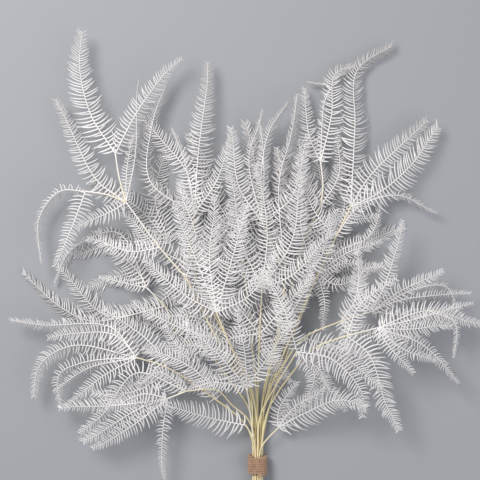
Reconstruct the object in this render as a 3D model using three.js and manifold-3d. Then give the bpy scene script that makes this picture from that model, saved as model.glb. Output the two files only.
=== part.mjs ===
// A tied bunch of dried forked-fern fronds, lying on a surface.
// Millimetres, +Z up, the stems run along +Y away from the tie. The origin is at the middle of
// the bunch's outline, on the surface that it lies on.
import * as THREE from "three";
import { mergeVertices } from "three/addons/utils/BufferGeometryUtils.js";
import Module from "manifold-3d";

// Driving dimensions
const STEM_RADIUS = 1.3; // a stem at the tie
const STALK_RADIUS = 0.95; // a stalk at its last fork
const STEM_SIDES = 5;
const STALK_STEP = 30; // length of one straight stretch of a stem
const LEAF_THICKNESS = 1.5;
const LEAF_STEP = 42; // length of one straight stretch of a leaf
const LEAF_TIP_WIDTH = 1.2;
const LEAF_LAYERS = 4; // heights that a frond's leaves take in turn
const LEAF_LIFT = 0.23; // from one such height to the next
const SHORTEST_EDGE = 0.05; // finer edges, where leaves meet at a fork, are closed up
const TURN_STEP = THREE.MathUtils.degToRad(55); // most that a stalk or leaf turns between two stations
const TURN_SAMPLES = 60;
const LEAF_THINNING = 0.4; // share of its thickness that a leaf loses towards its tip
const LEAF_FOOT = 0.2; // a leaf's width at its foot, as a share of its full width
const LEAF_WIDENING = 6; // shares of its full width that a leaf gains over its own length
const LEAF_FULLNESS = [0.5, 2]; // power that the taper follows: its base, and at the most
const FULLER_LENGTH = 10; // half-widths of a leaf's length that raise this power by one
const LEAF_ROOT = 2.5; // how far a leaf's foot runs into the stalk that carries it
const TIE_RADIUS = 13.5;
const TIE_BORE_RADIUS = 8.6;
const TIE_LENGTH = 28;
const TIE_TURNS = 8;
const TIE_SIDES = 20;
const TIE_GROOVE = 0.7; // depth between two turns of the twine
const SLOT_PITCH = 3.2; // between neighbouring stems inside the tie
const SLOT_ROWS = [3, 4, 5, 4, 3]; // stems in each row inside the tie, lowest row first
const STRAIGHT_REACH = TIE_LENGTH * 0.7; // the stems run straight this far from the tie's middle
const CUT_LENGTH = 92; // from the middle of the tie to the cut ends
const CUT_UNEVENNESS = 4; // how much longer or shorter a cut end may be
const CUT_SCATTER = 7; // spreads neighbouring stems over this range
const CUT_SPREAD = 1.35; // how far the stems fan out again at their cut ends
const PILE_HEIGHT = 108; // the bunch at its highest
const PILE_CENTRE = [0, 260];
const PILE_REACH = [335, 325]; // half-width and half-length of the bunch
const RIM_DROP = 0.6; // share of the height lost at the rim
const RISE_START = 15; // from the tie to where the stems start to spread
const RISE_END = 200; // from the tie to where the pile has its full height
const SLOT_END = 110; // from the tie to where a stem has left its row
const MERGE_DISTANCE = 1e-4;
const ROUNDING = 1e-9;

// One entry per frond. level is its layer in the pile, from 0 on the surface to 1 on top, and
// slot is its row and place in the row inside the tie. The first stalk is the stem from the tie
// on, and the others go from fork to fork. A leaf is its half-width, then its midrib. Points
// are x and y from the middle of the tie.
const FRONDS = [
  {
    name: "frond_back_left",
    level: 0,
    slot: [0, 0],
    stalks: [[[-12, 90], [-55, 180], [-95, 250]], [[-95, 250], [-120, 300]]],
    leaves: [
      [20, [-120, 300], [-165, 350], [-225, 385]],
      [21, [-120, 300], [-140, 360], [-125, 435]],
      [19, [-95, 250], [-155, 262], [-235, 240]],
      [21, [-95, 250], [-62, 310], [-62, 395]],
      [18, [-55, 180], [-100, 175], [-175, 200]],
      [18, [-55, 180], [-32, 225], [-38, 290]],
      [18, [-120, 300], [-180, 302], [-250, 285]],
      [18, [-95, 250], [-140, 215], [-210, 165]],
    ],
  },
  {
    name: "frond_back_centre",
    level: 0.08,
    slot: [0, 1],
    stalks: [[[-2, 100], [-12, 200], [-20, 270]], [[-20, 270], [-25, 310]]],
    leaves: [
      [21, [-25, 310], [-62, 370], [-95, 450]],
      [21, [-25, 310], [-2, 380], [-15, 465]],
      [19, [-20, 270], [25, 315], [40, 390]],
      [18, [-20, 270], [-65, 300], [-125, 312]],
      [18, [-25, 310], [-80, 335], [-150, 385]],
      [20, [-25, 310], [30, 355], [65, 435]],
      [18, [-12, 200], [-55, 225], [-115, 225]],
      [18, [-12, 200], [30, 228], [62, 290]],
      [17, [-12, 200], [-40, 165], [-50, 115]],
      [17, [-12, 200], [15, 160], [30, 105]],
    ],
  },
  {
    name: "frond_back_right",
    level: 0,
    slot: [0, 2],
    stalks: [[[12, 90], [35, 160], [60, 230]], [[60, 230], [75, 280]]],
    leaves: [
      [20, [75, 280], [115, 335], [120, 420]],
      [20, [75, 280], [55, 350], [25, 425]],
      [18, [60, 230], [115, 262], [180, 268]],
      [18, [60, 230], [28, 280], [-2, 350]],
      [18, [75, 280], [125, 292], [200, 325]],
      [16, [35, 160], [21, 208], [16, 265]],
      [18, [75, 280], [90, 355], [75, 445]],
    ],
  },
  {
    name: "frond_left_middle",
    level: 0.17,
    slot: [1, 0],
    stalks: [[[-12, 75], [-35, 110], [-70, 155], [-105, 175], [-125, 215]], [[-125, 215], [-150, 240]]],
    leaves: [
      [19, [-125, 215], [-225, 195], [-265, 212], [-320, 260]],
      [20, [-125, 215], [-205, 203], [-270, 270]],
      [13, [-150, 240], [-190, 315], [-255, 290], [-275, 245]],
      [10, [-150, 240], [-195, 250], [-215, 255]],
      [19, [-150, 240], [-165, 265], [-220, 315]],
      [18, [-105, 175], [-90, 225], [-105, 300]],
      [18, [-35, 110], [-80, 108], [-145, 125]],
      [18, [-70, 155], [-115, 145], [-190, 165]],
    ],
  },
  {
    name: "frond_centre_right_high",
    level: 0.22,
    slot: [1, 1],
    stalks: [[[8, 90], [35, 200], [65, 310], [85, 350]], [[85, 350], [88, 380], [85, 410]]],
    leaves: [
      [15, [85, 410], [70, 445], [63, 510]],
      [19, [85, 410], [100, 475], [105, 530], [132, 541]],
      [8, [85, 410], [90, 490], [98, 513], [68, 516]],
      [13, [85, 350], [110, 395], [105, 455]],
      [14, [85, 350], [65, 390], [55, 440]],
      [17, [65, 310], [35, 355], [28, 430]],
      [16, [35, 200], [68, 240], [110, 287]],
      [15, [65, 310], [105, 330], [165, 335]],
    ],
  },
  {
    name: "frond_right_high",
    level: 0.32,
    slot: [1, 2],
    stalks: [[[12, 85], [50, 190], [105, 310], [125, 350]]],
    leaves: [
      [24, [125, 350], [131, 460], [134, 533], [180, 571]],
      [25, [125, 350], [165, 370], [210, 410], [243, 459]],
      [22, [125, 350], [150, 390], [190, 430], [230, 466]],
      [10, [125, 350], [190, 365], [240, 340]],
      [15, [105, 310], [130, 345], [170, 372]],
      [17, [50, 190], [20, 245], [22, 320]],
      [17, [105, 310], [75, 345], [55, 410]],
    ],
  },
  {
    name: "frond_right_middle",
    level: 0.27,
    slot: [1, 3],
    stalks: [[[18, 85], [50, 180], [80, 260]]],
    leaves: [
      [14, [80, 260], [110, 290], [150, 310], [170, 355]],
      [14, [80, 260], [125, 290], [168, 300]],
      [13, [80, 260], [105, 245], [140, 255]],
      [11, [80, 260], [110, 272], [140, 275]],
      [11, [80, 260], [90, 220], [85, 185]],
      [17, [80, 260], [58, 320], [65, 390]],
      [16, [50, 180], [25, 230], [15, 290]],
    ],
  },
  {
    name: "frond_left_high",
    level: 0.58,
    slot: [2, 0],
    stalks: [
      [[-12, 105], [-25, 120], [-55, 175], [-95, 255]],
      [[-95, 255], [-130, 295], [-175, 355]],
      [[-175, 355], [-185, 390], [-190, 420]],
      [[-175, 355], [-200, 365], [-230, 370]],
    ],
    leaves: [
      [24, [-190, 420], [-225, 475], [-240, 540], [-235, 585]],
      [18, [-190, 420], [-165, 470], [-135, 515], [-105, 550]],
      [20, [-175, 355], [-215, 385], [-250, 450], [-270, 495]],
      [10, [-175, 355], [-175, 390], [-168, 445]],
      [5, [-175, 355], [-163, 420], [-163, 520]],
      [14, [-175, 355], [-195, 343], [-240, 325]],
      [11, [-230, 370], [-265, 370], [-293, 335], [-291, 275]],
      [16, [-230, 370], [-243, 335], [-270, 270]],
      [19, [-95, 255], [-82, 305], [-108, 380]],
      [18, [-55, 175], [-100, 188], [-165, 220]],
      [17, [-130, 295], [-170, 290], [-225, 310]],
    ],
  },
  {
    name: "frond_centre_left_high",
    level: 0.38,
    slot: [2, 1],
    stalks: [[[-8, 105], [-45, 180], [-88, 270], [-85, 340]]],
    leaves: [
      [23, [-85, 340], [-80, 420], [-70, 500], [-63, 545]],
      [19, [-85, 340], [-95, 395], [-130, 440], [-157, 472]],
      [9, [-85, 340], [-98, 410], [-115, 455]],
      [15, [-85, 340], [-55, 385], [-38, 440]],
      [17, [-85, 340], [-145, 385], [-142, 460], [-123, 520]],
      [19, [-88, 270], [-130, 292], [-180, 345]],
      [19, [-88, 270], [-52, 305], [-22, 370]],
      [18, [-45, 180], [-85, 202], [-150, 200]],
    ],
  },
  {
    name: "frond_inner_centre",
    level: 0.48,
    slot: [2, 2],
    stalks: [[[0, 100], [2, 180], [5, 240]]],
    leaves: [
      [21, [5, 240], [-22, 305], [-35, 395]],
      [21, [5, 240], [45, 305], [55, 395]],
      [18, [5, 240], [50, 262], [95, 315]],
      [18, [5, 240], [-32, 265], [-85, 300]],
      [17, [2, 180], [-28, 215], [-80, 240]],
      [17, [2, 180], [32, 213], [72, 258]],
      [19, [5, 240], [12, 315], [0, 405]],
      [15, [2, 180], [-35, 175], [-70, 150]],
      [15, [2, 180], [20, 145], [45, 115]],
    ],
  },
  {
    name: "frond_centre_high",
    level: 0.43,
    slot: [2, 3],
    stalks: [[[8, 100], [27, 185], [37, 255]], [[37, 255], [25, 285], [5, 330]]],
    leaves: [
      [15, [5, 330], [5, 400], [15, 450], [40, 490]],
      [13, [5, 330], [-12, 415], [10, 477]],
      [19, [5, 330], [-25, 375], [-35, 455]],
      [12, [5, 330], [8, 395], [4, 465]],
      [16, [37, 255], [28, 380], [43, 440], [56, 500]],
      [19, [37, 255], [80, 277], [100, 347]],
      [16, [27, 185], [55, 225], [78, 290]],
      [18, [5, 330], [45, 362], [65, 445]],
    ],
  },
  {
    name: "frond_right_spreading",
    level: 0.53,
    slot: [2, 4],
    stalks: [[[12, 95], [35, 140], [60, 175], [110, 198]], [[110, 198], [150, 210]]],
    leaves: [
      [15, [150, 210], [168, 245], [195, 330]],
      [15, [150, 210], [133, 230], [140, 265], [165, 268]],
      [15, [110, 198], [128, 225], [135, 290]],
      [13, [150, 210], [190, 225], [285, 235]],
      [9, [150, 210], [210, 240], [252, 242], [272, 195]],
      [15, [110, 198], [118, 180], [113, 125]],
      [17, [60, 175], [100, 165], [160, 148]],
      [14, [110, 198], [155, 180], [215, 175]],
      [13, [150, 210], [205, 205], [270, 215]],
      [15, [150, 210], [194, 240], [248, 262]],
    ],
  },
  {
    name: "frond_left_low",
    level: 0.68,
    slot: [3, 0],
    stalks: [[[-15, 52], [-55, 90], [-120, 137], [-160, 150]]],
    leaves: [
      [19, [-160, 150], [-245, 165], [-290, 140], [-305, 95]],
      [16, [-160, 150], [-230, 143], [-265, 125], [-266, 78]],
      [12, [-160, 150], [-225, 135], [-270, 105]],
      [15, [-160, 150], [-205, 125], [-250, 88]],
      [16, [-160, 150], [-195, 190], [-290, 192], [-331, 200]],
      [18, [-160, 150], [-190, 180], [-280, 178]],
      [17, [-120, 137], [-155, 108], [-220, 98]],
      [18, [-120, 137], [-142, 170], [-205, 215]],
      [17, [-55, 90], [-80, 130], [-125, 190]],
    ],
  },
  {
    name: "frond_left_drooping",
    level: 0.73,
    slot: [3, 1],
    stalks: [[[-12, 60], [-35, 83], [-55, 105], [-95, 105]], [[-95, 105], [-120, 95]]],
    leaves: [
      [12, [-120, 95], [-127, 50], [-130, -15]],
      [18, [-120, 95], [-155, 83], [-233, 33]],
      [21, [-95, 105], [-160, 130], [-205, 75], [-237, 45]],
      [17, [-120, 95], [-200, 85], [-265, 83]],
      [16, [-120, 95], [-150, 102], [-200, 80]],
      [11, [-95, 105], [-130, 132], [-155, 113]],
      [18, [-55, 105], [-92, 140], [-150, 165]],
      [16, [-120, 95], [-165, 60], [-220, 25]],
    ],
  },
  {
    name: "frond_inner_left",
    level: 0.63,
    slot: [3, 2],
    stalks: [[[-6, 90], [-30, 150], [-55, 210]]],
    leaves: [
      [21, [-55, 210], [-78, 270], [-112, 350]],
      [20, [-55, 210], [-36, 275], [-15, 350]],
      [19, [-55, 210], [-100, 235], [-150, 280]],
      [17, [-55, 210], [-12, 232], [25, 285]],
      [18, [-30, 150], [-70, 165], [-130, 165]],
      [19, [-55, 210], [-64, 280], [-55, 360]],
    ],
  },
  {
    name: "frond_right_low",
    level: 0.78,
    slot: [3, 3],
    stalks: [[[14, 75], [45, 130], [75, 165], [115, 180]], [[115, 180], [155, 190]]],
    leaves: [
      [18, [155, 190], [225, 212], [295, 190]],
      [15, [155, 190], [200, 188], [255, 195]],
      [8, [225, 212], [260, 195], [260, 150]],
      [14, [155, 190], [215, 168], [268, 115]],
      [13, [155, 190], [190, 162], [235, 145]],
      [13, [155, 190], [172, 165], [205, 130]],
      [21, [115, 180], [145, 155], [170, 85], [190, 55]],
      [17, [75, 165], [115, 150], [160, 110]],
      [16, [115, 180], [132, 220], [180, 255]],
      [15, [155, 190], [210, 202], [285, 222]],
      [14, [75, 165], [85, 122], [118, 80]],
    ],
  },
  {
    name: "frond_right_drooping",
    level: 0.86,
    slot: [4, 1],
    stalks: [[[3, 65], [20, 105], [50, 160]]],
    leaves: [
      [20, [50, 160], [95, 150], [133, 110], [142, 72]],
      [15, [50, 160], [73, 130], [63, 85]],
      [10, [50, 160], [80, 135], [92, 105]],
      [17, [50, 160], [35, 210], [12, 260]],
    ],
  },
  {
    name: "frond_low_right",
    level: 0.97,
    slot: [4, 2],
    stalks: [[[10, 32], [27, 50]]],
    leaves: [
      [22, [27, 50], [60, 72], [105, 95], [141, 88]],
      [14, [27, 50], [28, 75], [38, 98], [52, 117]],
      [13, [27, 50], [52, 85], [88, 108]],
    ],
  },
  {
    name: "frond_front",
    level: 1,
    slot: [4, 0],
    stalks: [[[-6, 36], [-16, 54]], [[-6, 36], [-10, 70], [-15, 110]]],
    leaves: [
      [22, [-16, 54], [-55, 64], [-122, 90]],
      [21, [-15, 110], [-50, 155], [-95, 200]],
      [17, [-15, 110], [11, 152], [40, 200]],
      [15, [-15, 110], [-18, 160], [-30, 215]],
      [13, [-15, 110], [-55, 118], [-92, 112]],
    ],
  },
];

const wasm = await Module();
wasm.setup();

const smooth = (value, from, to) => THREE.MathUtils.smoothstep(value, from, to);

// Height of the pile of fronds over the surface at a point.
function pileHeight(x, y) {
  const across = (x - PILE_CENTRE[0]) / PILE_REACH[0];
  const along = (y - PILE_CENTRE[1]) / PILE_REACH[1];
  const fall = 1 - RIM_DROP * Math.min(1, across ** 2 + along ** 2);
  const bundle = 2 * STEM_RADIUS * SLOT_ROWS.length;
  return bundle + (PILE_HEIGHT - bundle) * fall * smooth(Math.hypot(x, y), RISE_START, RISE_END);
}

// Where a frond's stem passes through the tie, as x and z.
function slotPlace([row, place]) {
  const rowHeight = SLOT_PITCH * Math.sin(Math.PI / 3);
  return {
    x: (place - (SLOT_ROWS[row] - 1) / 2) * SLOT_PITCH,
    z: TIE_RADIUS + (row - (SLOT_ROWS.length - 1) / 2) * rowHeight,
  };
}

// Height of one frond's middle at a point: its place in the tie, then its layer in the pile.
function layerHeight(frond, x, y) {
  const layer = STEM_RADIUS + frond.level * (pileHeight(x, y) - 2 * STEM_RADIUS);
  const freed = smooth(Math.hypot(x, y), RISE_START, SLOT_END);
  return THREE.MathUtils.lerp(slotPlace(frond.slot).z, layer, freed);
}

// How far along a curve its stations lie, as shares: a station at least every step of its length,
// and closer together the more the curve turns.
function stationShares(curve, step) {
  const paces = [0];
  for (let sample = 1; sample <= TURN_SAMPLES; sample += 1) {
    const before = curve.getTangentAt((sample - 1) / TURN_SAMPLES);
    const turn = curve.getTangentAt(sample / TURN_SAMPLES).angleTo(before);
    paces.push(paces[sample - 1] + curve.getLength() / TURN_SAMPLES / step + turn / TURN_STEP);
  }
  const count = Math.max(3, Math.ceil(paces[TURN_SAMPLES]));
  return Array.from({ length: count + 1 }, (_, index) => {
    const pace = (paces[TURN_SAMPLES] * index) / count;
    const after = Math.max(1, paces.findIndex((value) => value >= pace - ROUNDING));
    const between = (pace - paces[after - 1]) / (paces[after] - paces[after - 1]);
    return Math.min(1, (after - 1 + between) / TURN_SAMPLES);
  });
}

// Stations along a route in plan, each with its way forward and across.
function stations(route, step) {
  const curve = new THREE.CatmullRomCurve3(route.map(([x, y]) => new THREE.Vector3(x, y, 0)));
  return stationShares(curve, step).map((share) => {
    const forward = curve.getTangentAt(share);
    return { share, at: curve.getPointAt(share), across: new THREE.Vector3(forward.y, -forward.x, 0) };
  });
}

// A closed solid through a row of rings that all have the same number of points. Every second
// strip is split along its other diagonal, so that a leaf's upper and lower faces, which meet at
// its edges, bend along the same lines and keep apart where the leaf is warped.
function loft(rings) {
  const sides = rings[0].length;
  const points = rings.flat();
  const faces = [];
  for (let ring = 0; ring + 1 < rings.length; ring += 1) {
    for (let side = 0; side < sides; side += 1) {
      const a = ring * sides + side;
      const b = ring * sides + ((side + 1) % sides);
      if (side % 2 === 0) {
        faces.push(a, b, b + sides, a, b + sides, a + sides);
      } else {
        faces.push(a, b, a + sides, b, b + sides, a + sides);
      }
    }
  }
  // The ends fan out from point 1, the lower middle of a leaf, which sees all the others.
  const last = points.length - sides;
  for (let step = 1; step + 1 < sides; step += 1) {
    const side = (1 + step) % sides;
    const next = (side + 1) % sides;
    faces.push(1, next, side, last + 1, last + side, last + next);
  }
  const geometry = new THREE.BufferGeometry().setFromPoints(points);
  geometry.setIndex(faces);
  return geometry;
}

// The ring of a stem: a regular polygon square to the way forward.
function stemRing(frond, { at, across }, radius) {
  const z = layerHeight(frond, at.x, at.y);
  return Array.from({ length: STEM_SIDES }, (_, side) => {
    const angle = (2 * Math.PI * side) / STEM_SIDES;
    const point = at.clone().addScaledVector(across, radius * Math.cos(angle));
    return point.setZ(z - radius * Math.sin(angle));
  });
}

// The ring of a leaf: a flat lozenge whose edges lie in the frond's own layer.
function leafRing(frond, { at, across }, halfWidth, thickness, lift) {
  return [
    [halfWidth, 0],
    [0, -thickness / 2],
    [-halfWidth, 0],
    [0, thickness / 2],
  ].map(([side, up]) => {
    const point = at.clone().addScaledVector(across, side);
    return point.setZ(layerHeight(frond, point.x, point.y) + up + lift);
  });
}

// A stalk, which tapers slightly. The stem is the one that comes through the tie.
function stalk(frond, route, isStem) {
  const slot = slotPlace(frond.slot);
  const uneven = CUT_UNEVENNESS * Math.sin(CUT_SCATTER * slot.x + slot.z);
  const lowEnd = [
    [slot.x * CUT_SPREAD, -CUT_LENGTH - uneven],
    [slot.x, -STRAIGHT_REACH],
    [slot.x, STRAIGHT_REACH],
  ];
  const rings = stations(isStem ? [...lowEnd, ...route] : route, STALK_STEP);
  const start = isStem ? STEM_RADIUS : (STEM_RADIUS + STALK_RADIUS) / 2;
  const radius = (share) => THREE.MathUtils.lerp(start, STALK_RADIUS, share);
  return loft(rings.map((place) => stemRing(frond, place, radius(place.share))));
}

// A leaf starts inside its stalk, widens from its foot and then tapers to its tip. The leaves of
// a frond lie a little over and under each other.
function leaf(frond, [halfWidth, foot, ...midrib], index) {
  const lift = ((index % LEAF_LAYERS) - (LEAF_LAYERS - 1) / 2) * LEAF_LIFT;
  const away = Math.hypot(midrib[0][0] - foot[0], midrib[0][1] - foot[1]);
  const root = foot.map((value, axis) => value - ((midrib[0][axis] - value) * LEAF_ROOT) / away);
  const slenderness = new THREE.CatmullRomCurve3(
    [foot, ...midrib].map(([x, y]) => new THREE.Vector3(x, y, 0)),
  ).getLength() / halfWidth;
  const fullness = Math.min(LEAF_FULLNESS[1], LEAF_FULLNESS[0] + slenderness / FULLER_LENGTH);
  const rings = stations([root, ...midrib], LEAF_STEP).map((place) => {
    const widened = Math.min(1, LEAF_FOOT + place.share * LEAF_WIDENING);
    const taper = widened * (1 - place.share ** fullness);
    const width = Math.max(LEAF_TIP_WIDTH, halfWidth * taper);
    return leafRing(frond, place, width, LEAF_THICKNESS * (1 - LEAF_THINNING * place.share), lift);
  });
  return loft(rings);
}

// Joins closed shapes into one solid, and fills the specks that they may seal off at a fork.
function join(geometries) {
  const solids = geometries.map((geometry) => {
    const merged = mergeVertices(geometry, MERGE_DISTANCE);
    return new wasm.Manifold(
      new wasm.Mesh({
        numProp: 3,
        vertProperties: new Float32Array(merged.attributes.position.array),
        triVerts: new Uint32Array(merged.index.array),
      }),
    );
  });
  const whole = solids.reduce((sum, solid) => sum.add(solid)).simplify(SHORTEST_EDGE);
  const pieces = whole.decompose().filter((piece) => piece.volume() > 0);
  const mesh = wasm.Manifold.compose(pieces).getMesh();
  const joined = new THREE.BufferGeometry();
  joined.setAttribute("position", new THREE.BufferAttribute(mesh.vertProperties, 3));
  joined.setIndex(new THREE.BufferAttribute(mesh.triVerts, 1));
  return joined;
}

function frondMesh(frond, material) {
  const stalks = frond.stalks.map((route, index) => stalk(frond, route, index === 0));
  const leaves = frond.leaves.map((row, index) => leaf(frond, row, index));
  const mesh = new THREE.Mesh(join([...stalks, ...leaves]), material);
  mesh.name = frond.name;
  return mesh;
}

// The wrap of twine round the stems, as a ring whose outside is grooved between its turns.
function tieMesh(material) {
  const half = TIE_LENGTH / 2;
  const profile = [new THREE.Vector2(TIE_BORE_RADIUS, -half)];
  for (let step = 0; step <= 2 * TIE_TURNS; step += 1) {
    const depth = step % 2 === 0 ? TIE_GROOVE : 0;
    profile.push(new THREE.Vector2(TIE_RADIUS - depth, -half + (step * half) / TIE_TURNS));
  }
  profile.push(new THREE.Vector2(TIE_BORE_RADIUS, half), profile[0].clone());
  const ring = new THREE.LatheGeometry(profile, TIE_SIDES);
  ring.deleteAttribute("normal");
  ring.deleteAttribute("uv");
  const mesh = new THREE.Mesh(mergeVertices(ring, MERGE_DISTANCE), material);
  mesh.position.z = TIE_RADIUS;
  mesh.name = "twine_tie";
  return mesh;
}

const fernMaterial = new THREE.MeshStandardMaterial({ color: 0xdcdcdc, roughness: 0.75, metalness: 0 });
const twineMaterial = new THREE.MeshStandardMaterial({ color: 0x9c7c60, roughness: 0.95, metalness: 0 });

const bunch = new THREE.Group();
bunch.add(...FRONDS.map((frond) => frondMesh(frond, fernMaterial)), tieMesh(twineMaterial));

// The bunch is moved so that the middle of its outline's lowest face is the origin.
const outline = new THREE.Box3().setFromObject(bunch);
const middle = outline.getCenter(new THREE.Vector3());
bunch.position.set(-middle.x, -middle.y, -outline.min.z);

export default bunch;
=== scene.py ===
import math

import bpy
import numpy as np
from bpy.props import FloatProperty, FloatVectorProperty, IntProperty, PointerProperty
from bpy.types import Operator, Panel, PropertyGroup
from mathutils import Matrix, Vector


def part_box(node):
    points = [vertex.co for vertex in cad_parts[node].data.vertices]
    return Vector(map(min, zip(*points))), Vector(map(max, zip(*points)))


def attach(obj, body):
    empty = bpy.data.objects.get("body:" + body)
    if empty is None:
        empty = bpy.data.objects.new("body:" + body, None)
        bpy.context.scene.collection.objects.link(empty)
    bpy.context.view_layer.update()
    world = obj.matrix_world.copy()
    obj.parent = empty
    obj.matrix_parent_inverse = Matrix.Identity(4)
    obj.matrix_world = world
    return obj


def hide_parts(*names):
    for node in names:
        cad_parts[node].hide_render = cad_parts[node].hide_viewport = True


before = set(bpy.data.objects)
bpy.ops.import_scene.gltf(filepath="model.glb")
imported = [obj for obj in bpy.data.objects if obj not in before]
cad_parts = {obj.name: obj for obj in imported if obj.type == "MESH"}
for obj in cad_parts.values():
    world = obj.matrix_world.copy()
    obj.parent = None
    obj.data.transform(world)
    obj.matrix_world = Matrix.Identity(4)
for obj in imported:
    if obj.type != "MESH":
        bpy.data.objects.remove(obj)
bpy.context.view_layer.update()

bl_info = {
    "name": "Dried Fern Bunch",
    "version": (1, 0, 0),
    "blender": (4, 5, 0),
    "location": "3D View > Sidebar > Fern",
    "description": "Grows a tied bunch of dried forked-fern fronds on its frame",
    "category": "Add Mesh",
}

MM = 0.001

# The pile: how high it is, how far it reaches and where the stems pass through the tie.
# All lengths in the pile and in the table of fronds are in millimetres from the tie's middle.
STEM_RADIUS = 1.3
SLOT_PITCH = 3.2
SLOT_ROWS = (3, 4, 5, 4, 3)
STRAIGHT_REACH = 19.6  # the stems run straight this far from the tie's middle
CUT_LENGTH = 92
CUT_UNEVENNESS = 4  # how much longer or shorter a cut end may be
CUT_SCATTER = 7  # spreads neighbouring stems over this range
CUT_SPREAD = 1.35
PILE_HEIGHT = 108
PILE_CENTRE = (0, 260)
PILE_REACH = (335, 325)
RIM_DROP = 0.6
RISE_START = 15
RISE_END = 200
SLOT_END = 110
FLOOR_GAP = 0.25
VIEW_CENTRE = (-24, 305)
FLOOR_REACH = 40.0  # this one in metres


def entry(name, level, slot, stalks, *leaves):
    return dict(name=name, level=level, slot=slot, stalks=stalks, leaves=leaves)


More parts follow.
